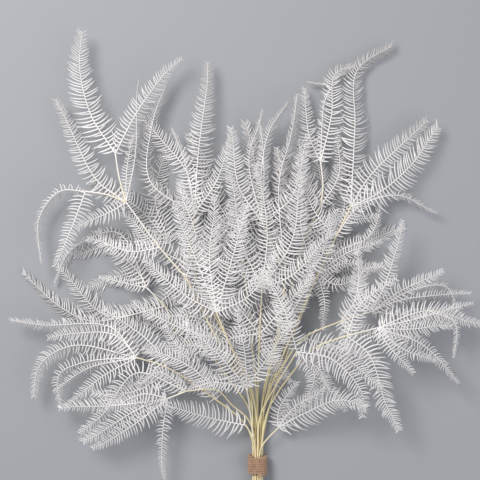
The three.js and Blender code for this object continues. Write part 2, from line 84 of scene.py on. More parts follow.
# One entry per frond: the CAD node that it replaces, its layer in the pile, its row and place
# in the tie, its stalks from fork to fork, and its leaves, each as half-width and midrib.
FRONDS = (
    entry(
        "frond_back_left", 0, (0, 0),
        (((-12, 90), (-55, 180), (-95, 250)), ((-95, 250), (-120, 300))),
        (20, (-120, 300), (-165, 350), (-225, 385)),
        (21, (-120, 300), (-140, 360), (-125, 435)),
        (19, (-95, 250), (-155, 262), (-235, 240)),
        (21, (-95, 250), (-62, 310), (-62, 395)),
        (18, (-55, 180), (-100, 175), (-175, 200)),
        (18, (-55, 180), (-32, 225), (-38, 290)),
        (18, (-120, 300), (-180, 302), (-250, 285)),
        (18, (-95, 250), (-140, 215), (-210, 165)),
    ),
    entry(
        "frond_back_centre", 0.08, (0, 1),
        (((-2, 100), (-12, 200), (-20, 270)), ((-20, 270), (-25, 310))),
        (21, (-25, 310), (-62, 370), (-95, 450)),
        (21, (-25, 310), (-2, 380), (-15, 465)),
        (19, (-20, 270), (25, 315), (40, 390)),
        (18, (-20, 270), (-65, 300), (-125, 312)),
        (18, (-25, 310), (-80, 335), (-150, 385)),
        (20, (-25, 310), (30, 355), (65, 435)),
        (18, (-12, 200), (-55, 225), (-115, 225)),
        (18, (-12, 200), (30, 228), (62, 290)),
        (17, (-12, 200), (-40, 165), (-50, 115)),
        (17, (-12, 200), (15, 160), (30, 105)),
    ),
    entry(
        "frond_back_right", 0, (0, 2),
        (((12, 90), (35, 160), (60, 230)), ((60, 230), (75, 280))),
        (20, (75, 280), (115, 335), (120, 420)),
        (20, (75, 280), (55, 350), (25, 425)),
        (18, (60, 230), (115, 262), (180, 268)),
        (18, (60, 230), (28, 280), (-2, 350)),
        (18, (75, 280), (125, 292), (200, 325)),
        (16, (35, 160), (21, 208), (16, 265)),
        (18, (75, 280), (90, 355), (75, 445)),
    ),
    entry(
        "frond_left_middle", 0.17, (1, 0),
        (
            ((-12, 75), (-35, 110), (-70, 155), (-105, 175), (-125, 215)),
            ((-125, 215), (-150, 240)),
        ),
        (19, (-125, 215), (-225, 195), (-265, 212), (-320, 260)),
        (20, (-125, 215), (-205, 203), (-270, 270)),
        (13, (-150, 240), (-190, 315), (-255, 290), (-275, 245)),
        (10, (-150, 240), (-195, 250), (-215, 255)),
        (19, (-150, 240), (-165, 265), (-220, 315)),
        (18, (-105, 175), (-90, 225), (-105, 300)),
        (18, (-35, 110), (-80, 108), (-145, 125)),
        (18, (-70, 155), (-115, 145), (-190, 165)),
    ),
    entry(
        "frond_centre_right_high", 0.22, (1, 1),
        (((8, 90), (35, 200), (65, 310), (85, 350)), ((85, 350), (88, 380), (85, 410))),
        (15, (85, 410), (70, 445), (63, 510)),
        (19, (85, 410), (100, 475), (105, 530), (132, 541)),
        (8, (85, 410), (90, 490), (98, 513), (68, 516)),
        (13, (85, 350), (110, 395), (105, 455)),
        (14, (85, 350), (65, 390), (55, 440)),
        (17, (65, 310), (35, 355), (28, 430)),
        (16, (35, 200), (68, 240), (110, 287)),
        (15, (65, 310), (105, 330), (165, 335)),
    ),
    entry(
        "frond_right_high", 0.32, (1, 2),
        (((12, 85), (50, 190), (105, 310), (125, 350)),),
        (24, (125, 350), (131, 460), (134, 533), (180, 571)),
        (25, (125, 350), (165, 370), (210, 410), (243, 459)),
        (22, (125, 350), (150, 390), (190, 430), (230, 466)),
        (10, (125, 350), (190, 365), (240, 340)),
        (15, (105, 310), (130, 345), (170, 372)),
        (17, (50, 190), (20, 245), (22, 320)),
        (17, (105, 310), (75, 345), (55, 410)),
    ),
    entry(
        "frond_right_middle", 0.27, (1, 3),
        (((18, 85), (50, 180), (80, 260)),),
        (14, (80, 260), (110, 290), (150, 310), (170, 355)),
        (14, (80, 260), (125, 290), (168, 300)),
        (13, (80, 260), (105, 245), (140, 255)),
        (11, (80, 260), (110, 272), (140, 275)),
        (11, (80, 260), (90, 220), (85, 185)),
        (17, (80, 260), (58, 320), (65, 390)),
        (16, (50, 180), (25, 230), (15, 290)),
    ),
    entry(
        "frond_left_high", 0.58, (2, 0),
        (
            ((-12, 105), (-25, 120), (-55, 175), (-95, 255)),
            ((-95, 255), (-130, 295), (-175, 355)),
            ((-175, 355), (-185, 390), (-190, 420)),
            ((-175, 355), (-200, 365), (-230, 370)),
        ),
        (24, (-190, 420), (-225, 475), (-240, 540), (-235, 585)),
        (18, (-190, 420), (-165, 470), (-135, 515), (-105, 550)),
        (20, (-175, 355), (-215, 385), (-250, 450), (-270, 495)),
        (10, (-175, 355), (-175, 390), (-168, 445)),
        (5, (-175, 355), (-163, 420), (-163, 520)),
        (14, (-175, 355), (-195, 343), (-240, 325)),
        (11, (-230, 370), (-265, 370), (-293, 335), (-291, 275)),
        (16, (-230, 370), (-243, 335), (-270, 270)),
        (19, (-95, 255), (-82, 305), (-108, 380)),
        (18, (-55, 175), (-100, 188), (-165, 220)),
        (17, (-130, 295), (-170, 290), (-225, 310)),
    ),
    entry(
        "frond_centre_left_high", 0.38, (2, 1),
        (((-8, 105), (-45, 180), (-88, 270), (-85, 340)),),
        (23, (-85, 340), (-80, 420), (-70, 500), (-63, 545)),
        (19, (-85, 340), (-95, 395), (-130, 440), (-157, 472)),
        (9, (-85, 340), (-98, 410), (-115, 455)),
        (15, (-85, 340), (-55, 385), (-38, 440)),
        (17, (-85, 340), (-145, 385), (-142, 460), (-123, 520)),
        (19, (-88, 270), (-130, 292), (-180, 345)),
        (19, (-88, 270), (-52, 305), (-22, 370)),
        (18, (-45, 180), (-85, 202), (-150, 200)),
    ),
    entry(
        "frond_inner_centre", 0.48, (2, 2),
        (((0, 100), (2, 180), (5, 240)),),
        (21, (5, 240), (-22, 305), (-35, 395)),
        (21, (5, 240), (45, 305), (55, 395)),
        (18, (5, 240), (50, 262), (95, 315)),
        (18, (5, 240), (-32, 265), (-85, 300)),
        (17, (2, 180), (-28, 215), (-80, 240)),
        (17, (2, 180), (32, 213), (72, 258)),
        (19, (5, 240), (12, 315), (0, 405)),
        (15, (2, 180), (-35, 175), (-70, 150)),
        (15, (2, 180), (20, 145), (45, 115)),
    ),
    entry(
        "frond_centre_high", 0.43, (2, 3),
        (((8, 100), (27, 185), (37, 255)), ((37, 255), (25, 285), (5, 330))),
        (15, (5, 330), (5, 400), (15, 450), (40, 490)),
        (13, (5, 330), (-12, 415), (10, 477)),
        (19, (5, 330), (-25, 375), (-35, 455)),
        (12, (5, 330), (8, 395), (4, 465)),
        (16, (37, 255), (28, 380), (43, 440), (56, 500)),
        (19, (37, 255), (80, 277), (100, 347)),
        (16, (27, 185), (55, 225), (78, 290)),
        (18, (5, 330), (45, 362), (65, 445)),
    ),
    entry(
        "frond_right_spreading", 0.53, (2, 4),
        (((12, 95), (35, 140), (60, 175), (110, 198)), ((110, 198), (150, 210))),
        (15, (150, 210), (168, 245), (195, 330)),
        (15, (150, 210), (133, 230), (140, 265), (165, 268)),
        (15, (110, 198), (128, 225), (135, 290)),
        (13, (150, 210), (190, 225), (285, 235)),
        (9, (150, 210), (210, 240), (252, 242), (272, 195)),
        (15, (110, 198), (118, 180), (113, 125)),
        (17, (60, 175), (100, 165), (160, 148)),
        (14, (110, 198), (155, 180), (215, 175)),
        (13, (150, 210), (205, 205), (270, 215)),
        (15, (150, 210), (194, 240), (248, 262)),
    ),
    entry(
        "frond_left_low", 0.68, (3, 0),
        (((-15, 52), (-55, 90), (-120, 137), (-160, 150)),),
        (19, (-160, 150), (-245, 165), (-290, 140), (-305, 95)),
        (16, (-160, 150), (-230, 143), (-265, 125), (-266, 78)),
        (12, (-160, 150), (-225, 135), (-270, 105)),
        (15, (-160, 150), (-205, 125), (-250, 88)),
        (16, (-160, 150), (-195, 190), (-290, 192), (-331, 200)),
        (18, (-160, 150), (-190, 180), (-280, 178)),
        (17, (-120, 137), (-155, 108), (-220, 98)),
        (18, (-120, 137), (-142, 170), (-205, 215)),
        (17, (-55, 90), (-80, 130), (-125, 190)),
    ),
    entry(
        "frond_left_drooping", 0.73, (3, 1),
        (((-12, 60), (-35, 83), (-55, 105), (-95, 105)), ((-95, 105), (-120, 95))),
        (12, (-120, 95), (-127, 50), (-130, -15)),
        (18, (-120, 95), (-155, 83), (-233, 33)),
        (21, (-95, 105), (-160, 130), (-205, 75), (-237, 45)),
        (17, (-120, 95), (-200, 85), (-265, 83)),
        (16, (-120, 95), (-150, 102), (-200, 80)),
        (11, (-95, 105), (-130, 132), (-155, 113)),
        (18, (-55, 105), (-92, 140), (-150, 165)),
        (16, (-120, 95), (-165, 60), (-220, 25)),
    ),
    entry(
        "frond_inner_left", 0.63, (3, 2),
        (((-6, 90), (-30, 150), (-55, 210)),),
        (21, (-55, 210), (-78, 270), (-112, 350)),
        (20, (-55, 210), (-36, 275), (-15, 350)),
        (19, (-55, 210), (-100, 235), (-150, 280)),
        (17, (-55, 210), (-12, 232), (25, 285)),
        (18, (-30, 150), (-70, 165), (-130, 165)),
        (19, (-55, 210), (-64, 280), (-55, 360)),
    ),
    entry(
        "frond_right_low", 0.78, (3, 3),
        (((14, 75), (45, 130), (75, 165), (115, 180)), ((115, 180), (155, 190))),
        (18, (155, 190), (225, 212), (295, 190)),
        (15, (155, 190), (200, 188), (255, 195)),
        (8, (225, 212), (260, 195), (260, 150)),
        (14, (155, 190), (215, 168), (268, 115)),
        (13, (155, 190), (190, 162), (235, 145)),
        (13, (155, 190), (172, 165), (205, 130)),
        (21, (115, 180), (145, 155), (170, 85), (190, 55)),
        (17, (75, 165), (115, 150), (160, 110)),
        (16, (115, 180), (132, 220), (180, 255)),
        (15, (155, 190), (210, 202), (285, 222)),
        (14, (75, 165), (85, 122), (118, 80)),
    ),
    entry(
        "frond_right_drooping", 0.86, (4, 1),
        (((3, 65), (20, 105), (50, 160)),),
        (20, (50, 160), (95, 150), (133, 110), (142, 72)),
        (15, (50, 160), (73, 130), (63, 85)),
        (10, (50, 160), (80, 135), (92, 105)),
        (17, (50, 160), (35, 210), (12, 260)),
    ),
    entry(
        "frond_low_right", 0.97, (4, 2),
        (((10, 32), (27, 50)),),
        (22, (27, 50), (60, 72), (105, 95), (141, 88)),
        (14, (27, 50), (28, 75), (38, 98), (52, 117)),
        (13, (27, 50), (52, 85), (88, 108)),
    ),
    entry(
        "frond_front", 1, (4, 0),
        (((-6, 36), (-16, 54)), ((-6, 36), (-10, 70), (-15, 110))),
        (22, (-16, 54), (-55, 64), (-122, 90)),
        (21, (-15, 110), (-50, 155), (-95, 200)),
        (17, (-15, 110), (11, 152), (40, 200)),
        (15, (-15, 110), (-18, 160), (-30, 215)),
        (13, (-15, 110), (-55, 118), (-92, 112)),
    ),
)


def length_setting(name, description, default):
    """A setting that is a length, whose default is in millimetres."""
    return FloatProperty(name=name, description=description, default=default * MM, unit="LENGTH")


def share_setting(name, description, default, most=1):
    return FloatProperty(name=name, description=description, default=default, min=0, max=most)


def angle_setting(name, description, degrees):
    return FloatProperty(
        name=name, description=description, default=math.radians(degrees), subtype="ANGLE"
    )


def colour_setting(name, description, default):
    return FloatVectorProperty(
        name=name, description=description, subtype="COLOR", default=default, min=0, max=1
    )


class FernLeafSettings(PropertyGroup):
    """Sizes of the comb-like leaves."""

    pitch: length_setting("Leaflet pitch", "Distance between two leaflets on one side", 5.5)
    width: length_setting("Leaflet width", "Widest part of the longest leaflets", 2.5)
    thickness: length_setting("Leaflet thickness", "Thickness of a leaflet at its rib", 0.34)
    midrib: length_setting("Midrib radius", "Radius of a leaf's midrib at its foot", 0.8)
    droop: share_setting(
        "Leaflet droop", "How far a leaflet hangs at its tip, over its length", 0.16
    )
    sweep: share_setting("Leaflet sweep", "How far a leaflet curves to the leaf's tip", 0.32)
    closing: share_setting(
        "Closing", "How much closer the leaflets stand at the leaf's tip", 0.5, 0.9
    )
    foot_angle: angle_setting("Foot angle", "Forward lean of the leaflets at the leaf's foot", -2)
    tip_angle: angle_setting("Tip angle", "Forward lean of the leaflets at the leaf's tip", 30)
    roll: angle_setting("Leaf roll", "How far a leaf may turn about its midrib", 9)
    tip_width: share_setting(
        "Tip width", "Leaflet length at a leaf's tip, over the longest leaflets", 0.24
    )
    unevenness: share_setting(
        "Unevenness", "How much the length of neighbouring leaflets varies", 0.11, 0.5
    )
    hook: length_setting("Tip hook", "How far a leaf's tip bends aside", 6)


class FernStemSettings(PropertyGroup):
    """Sizes of the stems and stalks."""

    stem: length_setting("Stem radius", "Radius of a stem at the tie", STEM_RADIUS)
    stalk: length_setting("Stalk radius", "Radius of a stalk at its last fork", 0.85)
    swelling: share_setting("Fork swelling", "Extra thickness at a fork, over the radius", 0.4)


class FernColourSettings(PropertyGroup):
    """Colours of the dried fern and the twine."""

    leaf: colour_setting("Leaf", "Bleached leaf in the light", (0.80, 0.785, 0.79))
    leaf_shade: colour_setting("Leaf shade", "Greyer patches on the leaves", (0.62, 0.605, 0.625))
    withered: colour_setting(
        "Withered tip", "Greyish brown of the oldest leaf tips", (0.40, 0.36, 0.33)
    )
    straw: colour_setting("Straw", "Dry stems", (0.82, 0.69, 0.42))
    straw_green: colour_setting("Green straw", "Greener stretches of the stems", (0.68, 0.61, 0.35))
    straw_dark: colour_setting(
        "Dark straw", "Fine lengthwise streaks of the stems", (0.42, 0.31, 0.15)
    )
    # Twine is the jute's lit colour. Dark twine is partly the colour of darker fibres and partly
    # painted shade between the fibres.
    twine: colour_setting("Twine", "Jute in the light", (0.48, 0.30, 0.185))
    twine_dark: colour_setting("Dark twine", "Jute between its fibres", (0.20, 0.12, 0.07))


class TwineSettings(PropertyGroup):
    """Sizes of the wound twine."""

    strand: length_setting("Strand radius", "Radius of one of the twine's two strands", 0.95)
    turns: IntProperty(name="Turns", description="Turns of the outer layer", default=8, min=2)
    lay: length_setting("Lay", "Length of one twist of the two strands", 8.5)
    fibres: IntProperty(name="Fibres", description="Loose fibres on the twine", default=260, min=0)


class StageSettings(PropertyGroup):
    """Floor, lights and camera."""

    floor: colour_setting("Floor", "Colour of the floor", (0.30, 0.31, 0.33))
    key: FloatProperty(name="Key light", description="Power of the key light in watts", default=41)
    fill: FloatProperty(name="Fill light", description="Power of the fill light in watts", default=14)
    lens: FloatProperty(name="Lens", description="Focal length in millimetres", default=85)
    width: length_setting("View width", "Width that the camera takes in", 635)


# ---------------------------------------------------------------- routes and layers


def smooth(value, start, end):
    share = np.clip((value - start) / (end - start), 0, 1)
    return share * share * (3 - 2 * share)


def tie_middle():
    low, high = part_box("twine_tie")
    return np.array([(low[i] + high[i]) / 2 for i in range(3)]) / MM


TIE = tie_middle()


def pile_height(x, y):
    """Height of the pile of fronds at points in plan."""
    across = (x - PILE_CENTRE[0]) / PILE_REACH[0]
    along = (y - PILE_CENTRE[1]) / PILE_REACH[1]
    fall = 1 - RIM_DROP * np.minimum(1, across**2 + along**2)
    bundle = 2 * STEM_RADIUS * len(SLOT_ROWS)
    return bundle + (PILE_HEIGHT - bundle) * fall * smooth(np.hypot(x, y), RISE_START, RISE_END)


def slot_place(slot):
    """Where a stem passes through the tie, as x and z."""
    row, place = slot
    row_height = SLOT_PITCH * math.sin(math.pi / 3)
    x = (place - (SLOT_ROWS[row] - 1) / 2) * SLOT_PITCH
    return x, TIE[2] + (row - (len(SLOT_ROWS) - 1) / 2) * row_height


def layer_height(frond, x, y):
    """Height of a frond's middle: its place in the tie, then its layer in the pile."""
    layer = STEM_RADIUS + frond["level"] * (pile_height(x, y) - 2 * STEM_RADIUS)
    share = smooth(np.hypot(x, y), RISE_START, SLOT_END)
    return (1 - share) * slot_place(frond["slot"])[1] + share * layer


def smooth_route(route, per_span=40):
    """A centripetal Catmull-Rom curve through points in plan, as closely spaced points."""
    points = np.array(route, float)
    points = np.vstack([2 * points[0] - points[1], points, 2 * points[-1] - points[-2]])
    curve = [points[1]]
    for a, b, c, d in zip(points, points[1:], points[2:], points[3:]):
        gaps = [np.linalg.norm(q - p) for p, q in ((a, b), (b, c), (c, d))]
        knots = np.cumsum([0] + [max(gap, 1e-6) ** 0.5 for gap in gaps])
        t = np.linspace(knots[1], knots[2], per_span + 1)[1:, None]
        ab = a + (b - a) * (t - knots[0]) / (knots[1] - knots[0])
        bc = b + (c - b) * (t - knots[1]) / (knots[2] - knots[1])
        cd = c + (d - c) * (t - knots[2]) / (knots[3] - knots[2])
        abc = ab + (bc - ab) * (t - knots[0]) / (knots[2] - knots[0])
        bcd = bc + (cd - bc) * (t - knots[1]) / (knots[3] - knots[1])
        curve.extend(abc + (bcd - abc) * (t - knots[1]) / (knots[2] - knots[1]))
    return np.array(curve)


def at_lengths(curve, shares):
    """Points at the given shares of a curve's length."""
    lengths = np.concatenate([[0], np.cumsum(np.linalg.norm(np.diff(curve, axis=0), axis=1))])
    return np.stack([np.interp(np.asarray(shares) * lengths[-1], lengths, c) for c in curve.T], axis=1)


def length_of(curve):
    return float(np.linalg.norm(np.diff(curve, axis=0), axis=1).sum())


def unit(vectors):
    return vectors / np.maximum(np.linalg.norm(vectors, axis=-1, keepdims=True), 1e-9)


def frames(points):
    """Forward, across and up at each point of a line that runs roughly level."""
    forward = unit(np.gradient(points, axis=0))
    across = unit(np.cross(forward, [0.0, 0.0, 1.0]))
    return forward, across, np.cross(across, forward)


# ---------------------------------------------------------------- meshes


class Lofts:
    """Collects closed lofts, each a row of rings, and turns them into one mesh."""

    def __init__(self, lowest):
        """lowest is the height that no point goes below; a ring that would is lifted whole."""
        self.points, self.faces, self.slots = [], [], []
        self.marks = {"along": [], "across": [], "age": []}
        self.count = 0
        self.lowest = lowest

    def add(self, rings, slot, along, across, age=0.0):
        """rings is an array of shape (lofts, rings, sides, 3). along, across and age, which spread
        over it, say how far each point is along and across its own part, and how withered it is."""
        lofts, length, sides, _ = rings.shape
        short = np.maximum(0, self.lowest - rings[..., 2].min(axis=2, keepdims=True))
        rings = np.concatenate([rings[..., :2], (rings[..., 2] + short)[..., None]], axis=-1)
        ring, side = np.meshgrid(np.arange(length - 1), np.arange(sides), indexing="ij")
        a, b = ring * sides + side, ring * sides + (side + 1) % sides
        walls = np.stack([a, b, b + sides, a + sides], axis=-1).reshape(-1, 4)
        fan = np.array([(0, k, k + 1, k + 2) for k in range(1, sides - 2, 2)])
        faces = np.vstack([walls, fan[:, ::-1], fan + (length - 1) * sides])
        offsets = self.count + np.arange(lofts)[:, None, None] * length * sides
        self.faces.append((faces[None] + offsets).reshape(-1, 4))
        self.points.append(rings.reshape(-1, 3))
        self.slots.append(np.full(lofts * len(faces), slot))
        for label, values in (("along", along), ("across", across), ("age", age)):
            self.marks[label].append(np.broadcast_to(values, rings.shape[:3]).reshape(-1))
        self.count += lofts * length * sides

    def tube(self, points, radii, sides, slot, along=None):
        """A round tube along a line that runs roughly level."""
        _, across, up = frames(points)
        turn = np.linspace(0, 2 * math.pi, sides, endpoint=False)[None, :, None]
        rings = points[:, None] + np.asarray(radii)[:, None, None] * (
            np.cos(turn) * up[:, None] + np.sin(turn) * across[:, None]
        )
        along = np.linspace(0, 1, len(points)) if along is None else along
        self.add(rings[None], slot, along[None, :, None], np.cos(turn[None, :, :, 0]))

    def mesh(self, name, materials, origin):
        """origin is added to every point, in millimetres."""
        points = (np.concatenate(self.points) + origin) * MM
        faces = np.concatenate(self.faces)
        data = bpy.data.meshes.new(name)
        data.vertices.add(len(points))
        data.vertices.foreach_set("co", points.astype(np.float32).ravel())
        data.loops.add(faces.size)
        data.loops.foreach_set("vertex_index", faces.astype(np.int32).ravel())
        data.polygons.add(len(faces))
        data.polygons.foreach_set("loop_start", np.arange(0, faces.size, 4, dtype=np.int32))
        data.polygons.foreach_set("material_index", np.concatenate(self.slots).astype(np.int32))
        data.update(calc_edges=True)
        data.shade_smooth()
        for label, values in self.marks.items():
            layer = data.attributes.new(label, "FLOAT", "POINT")
            layer.data.foreach_set("value", np.concatenate(values).astype(np.float32))
        for material in materials:
            data.materials.append(material)
        piece = bpy.data.objects.new(name, data)
        bpy.context.scene.collection.objects.link(piece)
        return piece


# ---------------------------------------------------------------- fronds

LEAF_SLOT, STRAW_SLOT = 0, 1
FOOT_WIDTH = 0.45
FOOT_GROWTH = 5  # shares of its full width that a leaf gains over its own length
TAPER_POWER = 1.9
LAST_LEAFLET = 0.985  # share of a midrib's length
NATURAL_WIDTH = 0.12  # half-width of a leaf that lies flat, over its length
GREATEST_FOLD = math.radians(55)  # a narrower leaf is folded along its midrib, up to this
LEAF_LIFT = 1.2  # most that a leaf's tip rises or sinks, in millimetres
HOOK_SPAN = (0.8, 1.1)  # shares of a leaf's length over which its tip bends aside
LOWEST_MIDRIB = 0.9  # in millimetres
MIDRIB_STEP, STALK_STEP = 4, 3.5  # between two rings, in millimetres
MIDRIB_SIDES, STALK_SIDES = 8, 10
MIDRIB_TAPER = 0.72
SWELLING_REACH = 3  # of a stalk before its fork, in millimetres
FIRST_LEAFLETS = ((1, 0.5), (-1, 0.85))  # side, and pitches from the foot to its first leaflet
SHORTEST_LEAFLET = 1.3  # in millimetres
BROADEST_LEAFLET = 0.7  # width over length
# Midrib radius and pitch of a small leaf: least, what is gained, and half-width from which full.
MIDRIB_LEAST, MIDRIB_GAIN, MIDRIB_FULL = 0.7, 0.3, 18
PITCH_LEAST, PITCH_GAIN, PITCH_FULL = 0.66, 0.34, 19
LOW_LEVEL = 0.1  # fronds up to this level lie on the floor, so their leaves fold upwards
ROLL_ROOM = 4  # how fast the room for a leaf to roll grows with its level
LEAN_POWER = 1.5
WITHER_LEAST, WITHER_GAIN, WITHER_SCATTER = 0.65, 0.35, 3
FOOT_AGE, TIP_AGE = 0.6, 0.4  # of a leaflet: withered at its foot, and more at its tip
FOOT_TWIST = 0.4
LEAFLET_THINNING = 0.55
# How far chance moves leaflets: in angle, in curve, and along the midrib in shares of the pitch.
ROW_LEAN_SPREAD, LEAN_SPREAD, TWIST_SPREAD = 0.1, 0.09, 0.16
SWEEP_SPREAD, HANG_SPREAD, PLACE_SPREAD = 0.09, 0.08, 0.06
WITHER_START = 0.5  # share of a leaf's length from which its tip may be withered
WITHER_REACH = (380, 520)  # only the tips farthest from the tie are withered, in millimetres
LEAFLET_STATIONS = np.array([0, 0.06, 0.2, 0.42, 0.64, 0.82, 0.94, 1.0])
LEAFLET_OUTLINE = np.array([1.15, 0.86, 0.95, 0.97, 0.86, 0.62, 0.34, 0.07])
# Across a leaflet, seen from its foot: share of its half-width, and height over its thickness.
LEAFLET_SECTION = np.array([(1, -0.9), (0.5, 0.35), (0, 0.12), (-0.5, 0.35), (-1, -0.9), (0, -0.75)])


def leaf_taper(share, tip_width):
    """Half-width of a leaf along its midrib, over its greatest half-width. A leaf stays broad for
    most of its length and ends in a blunt, bushy tip."""
    body = 1 - np.clip(share, 0, 1) ** TAPER_POWER
    return np.minimum(1, FOOT_WIDTH + share * FOOT_GROWTH) * (tip_width + (1 - tip_width) * body)


def leaflet_places(length, pitch, closing, first):
    """Shares of a midrib's length that carry a leaflet, closer together towards its tip."""
    places = [first * pitch / length]
    while places[-1] < LAST_LEAFLET:
        places.append(places[-1] + pitch * (1 - closing * places[-1]) / length)
    return np.minimum(places, 1)


def leaflets(
    lofts, settings, base, forward, across, up, length, width, lean, droop, age, rng, side
):
    """A row of leaflets along one side of a midrib. Every argument but the settings and the side
    has one row per leaflet."""
    count = len(base)
    lean = lean + rng.normal(0, LEAN_SPREAD, count)
    length = length * (1 + rng.normal(0, settings.unevenness, count))
    out = unit(np.cos(lean)[:, None] * across * side + np.sin(lean)[:, None] * forward)
    s = LEAFLET_STATIONS[None, :, None]
    sweep = (settings.sweep + rng.normal(0, SWEEP_SPREAD, count))[:, None, None]
    hang = (droop + rng.normal(0, HANG_SPREAD, count))[:, None, None]
    reach = length[:, None, None]
    spine = base[:, None] + reach * (
        s * out[:, None] + s**2 * sweep * forward[:, None] - s**2 * hang * up[:, None]
    )
    ahead = unit(out[:, None] + 2 * s * (sweep * forward[:, None] - hang * up[:, None]))
    wide = side * unit(forward[:, None] - (forward[:, None] * ahead).sum(-1, keepdims=True) * ahead)
    normal = np.cross(ahead, wide)
    twist = rng.normal(0, TWIST_SPREAD, count)[:, None, None] * (FOOT_TWIST + s)
    wide, normal = (
        wide * np.cos(twist) + normal * np.sin(twist),
        normal * np.cos(twist) - wide * np.sin(twist),
    )
    half = width[:, None] / 2 * LEAFLET_OUTLINE[None]
    thick = settings.thickness / MM * (1 - LEAFLET_THINNING * LEAFLET_STATIONS)
    u, v = LEAFLET_SECTION[:, 0], LEAFLET_SECTION[:, 1]
    rings = (
        spine[:, :, None]
        + (half[:, :, None] * u)[..., None] * wide[:, :, None]
        + (thick[None, :, None] * v)[..., None] * normal[:, :, None]
    )
    age = age[:, None, None] * (FOOT_AGE + TIP_AGE * s[..., 0])[..., None]
    lofts.add(rings, LEAF_SLOT, LEAFLET_STATIONS[None, :, None], u[None, None], age)


def grow_leaf(lofts, frond, leaf, settings, rng):
    """A comb-like leaf: a tapering midrib with a row of leaflets on each side."""
    half_width, *midrib = leaf
    plan = smooth_route(midrib)
    length = length_of(plan)
    natural = max(half_width, NATURAL_WIDTH * length)
    fold = min(math.acos(half_width / natural), GREATEST_FOLD)
    reach = half_width / math.cos(fold)
    lift = rng.uniform(-LEAF_LIFT, LEAF_LIFT)
    hook = settings.hook / MM * rng.uniform(-1, 1)

    def place(shares):
        flat = at_lengths(plan, shares)
        ahead = unit(at_lengths(plan, np.minimum(shares + 0.02, 1)) - at_lengths(plan, shares - 0.02))
        bend = hook * smooth(shares, *HOOK_SPAN)
        flat = flat + bend[:, None] * np.column_stack([ahead[:, 1], -ahead[:, 0]])
        height = layer_height(frond, flat[:, 0], flat[:, 1]) + lift * shares
        return np.column_stack([flat, np.maximum(height, LOWEST_MIDRIB)])

    shares = np.linspace(0, 1, max(8, int(length / MIDRIB_STEP)))
    spine = place(shares)
    radius = settings.midrib / MM
    radius = radius * (MIDRIB_LEAST + MIDRIB_GAIN * min(1, half_width / MIDRIB_FULL))
    lofts.tube(spine, radius * (1 - MIDRIB_TAPER * shares), MIDRIB_SIDES, STRAW_SLOT, 2 + shares)

    withering = smooth(math.hypot(*midrib[-1]), *WITHER_REACH)
    chance = math.sin(midrib[-1][0] + WITHER_SCATTER * midrib[-1][1])
    withering *= WITHER_LEAST + WITHER_GAIN * chance
    pitch = settings.pitch / MM * (PITCH_LEAST + PITCH_GAIN * min(1, reach / PITCH_FULL))
    down = 1 if frond["level"] > LOW_LEVEL else -1
    roll = rng.uniform(-settings.roll, settings.roll) * min(1, frond["level"] * ROLL_ROOM)
    for side, first in FIRST_LEAFLETS:
        places = leaflet_places(length, pitch, settings.closing, first)
        places = np.clip(places + rng.normal(0, PLACE_SPREAD, len(places)) * pitch / length, 0, 0.995)
        base = place(places)
        forward = unit(place(np.minimum(places + 0.01, 1)) - place(places - 0.01))
        across = unit(np.cross(forward, [0.0, 0.0, 1.0]))
        up = np.cross(across, forward)
        tilt = fold * down + roll * side
        outward = across * math.cos(tilt) - up * side * math.sin(tilt)
        level_up = up * math.cos(tilt) + across * side * math.sin(tilt)
        lean = settings.foot_angle + (settings.tip_angle - settings.foot_angle) * places**LEAN_POWER
        lean = lean + rng.normal(0, ROW_LEAN_SPREAD)
        taper = leaf_taper(places, settings.tip_width)
        size = np.maximum(reach * taper / np.cos(lean), SHORTEST_LEAFLET)
        crowding = (1 - settings.closing * places) * pitch * MM / settings.pitch
        width = np.minimum(settings.width / MM * crowding, size * BROADEST_LEAFLET)
        droop = np.full(len(places), settings.droop * down)
        leaflets(
            lofts, settings, base, forward, outward, level_up, size, width, lean, droop,
            withering * smooth(places, WITHER_START, 1), rng, side,
        )


def grow_stalk(lofts, frond, route, settings, is_stem):
    """A round stalk that swells at its fork. The stem also runs through the tie to its cut end."""
    if is_stem:
        x, z = slot_place(frond["slot"])
        cut = -CUT_LENGTH - CUT_UNEVENNESS * math.sin(CUT_SCATTER * x + z)
        route = ((x * CUT_SPREAD, cut), (x, -STRAIGHT_REACH), (x, STRAIGHT_REACH), *route)
    plan = smooth_route(route)
    length = length_of(plan)
    shares = np.linspace(0, 1, max(6, int(length / STALK_STEP)))
    flat = at_lengths(plan, shares)
    points = np.column_stack([flat, layer_height(frond, flat[:, 0], flat[:, 1])])
    start = settings.stem if is_stem else (settings.stem + settings.stalk) / 2
    radii = (start + (settings.stalk - start) * shares) / MM
    radii = radii * (1 + settings.swelling * np.exp(-(((1 - shares) * length / SWELLING_REACH) ** 2)))
    lofts.tube(points, radii, STALK_SIDES, STRAW_SLOT, shares if is_stem else 1 + shares)


def grow_frond(frond, materials):
    scene = bpy.context.scene
    number = FRONDS.index(frond)
    lofts = Lofts(FLOOR_GAP)
    for index, route in enumerate(frond["stalks"]):
        grow_stalk(lofts, frond, route, scene.fern_stem, index == 0)
    for index, leaf in enumerate(frond["leaves"]):
        rng = np.random.default_rng(100 * number + index)
        grow_leaf(lofts, frond, leaf, scene.fern_leaf, rng)
    piece = lofts.mesh(frond["name"] + "_fern", materials, (TIE[0], TIE[1], 0))
    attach(piece, "root")
    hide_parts(frond["name"])
    return piece


# ---------------------------------------------------------------- twine


TWINE_WIDTH = 1.86  # of two strands twisted together, over a strand's diameter
STRAND_OFFSET = 0.86  # of a strand from the middle of the twine, over its radius
# The layers of turns: how far in from the outside and from the ends, in half-widths of the twine,
# how many turns fewer, and how many points.
TWINE_LAYERS = ((1, 1, 0.1, 1100), (2.2, 1.3, 1.4, 700))
STRAND_SIDES, FIBRE_SIDES = 10, 4
LUMP_SIZES, LUMP_RATES = (0.06, 0.05), (311, 97)  # unevenness of a strand along the whole twine
FIBRE_LENGTHS = (1.6, 3.6)
FIBRE_RADIUS = 0.07


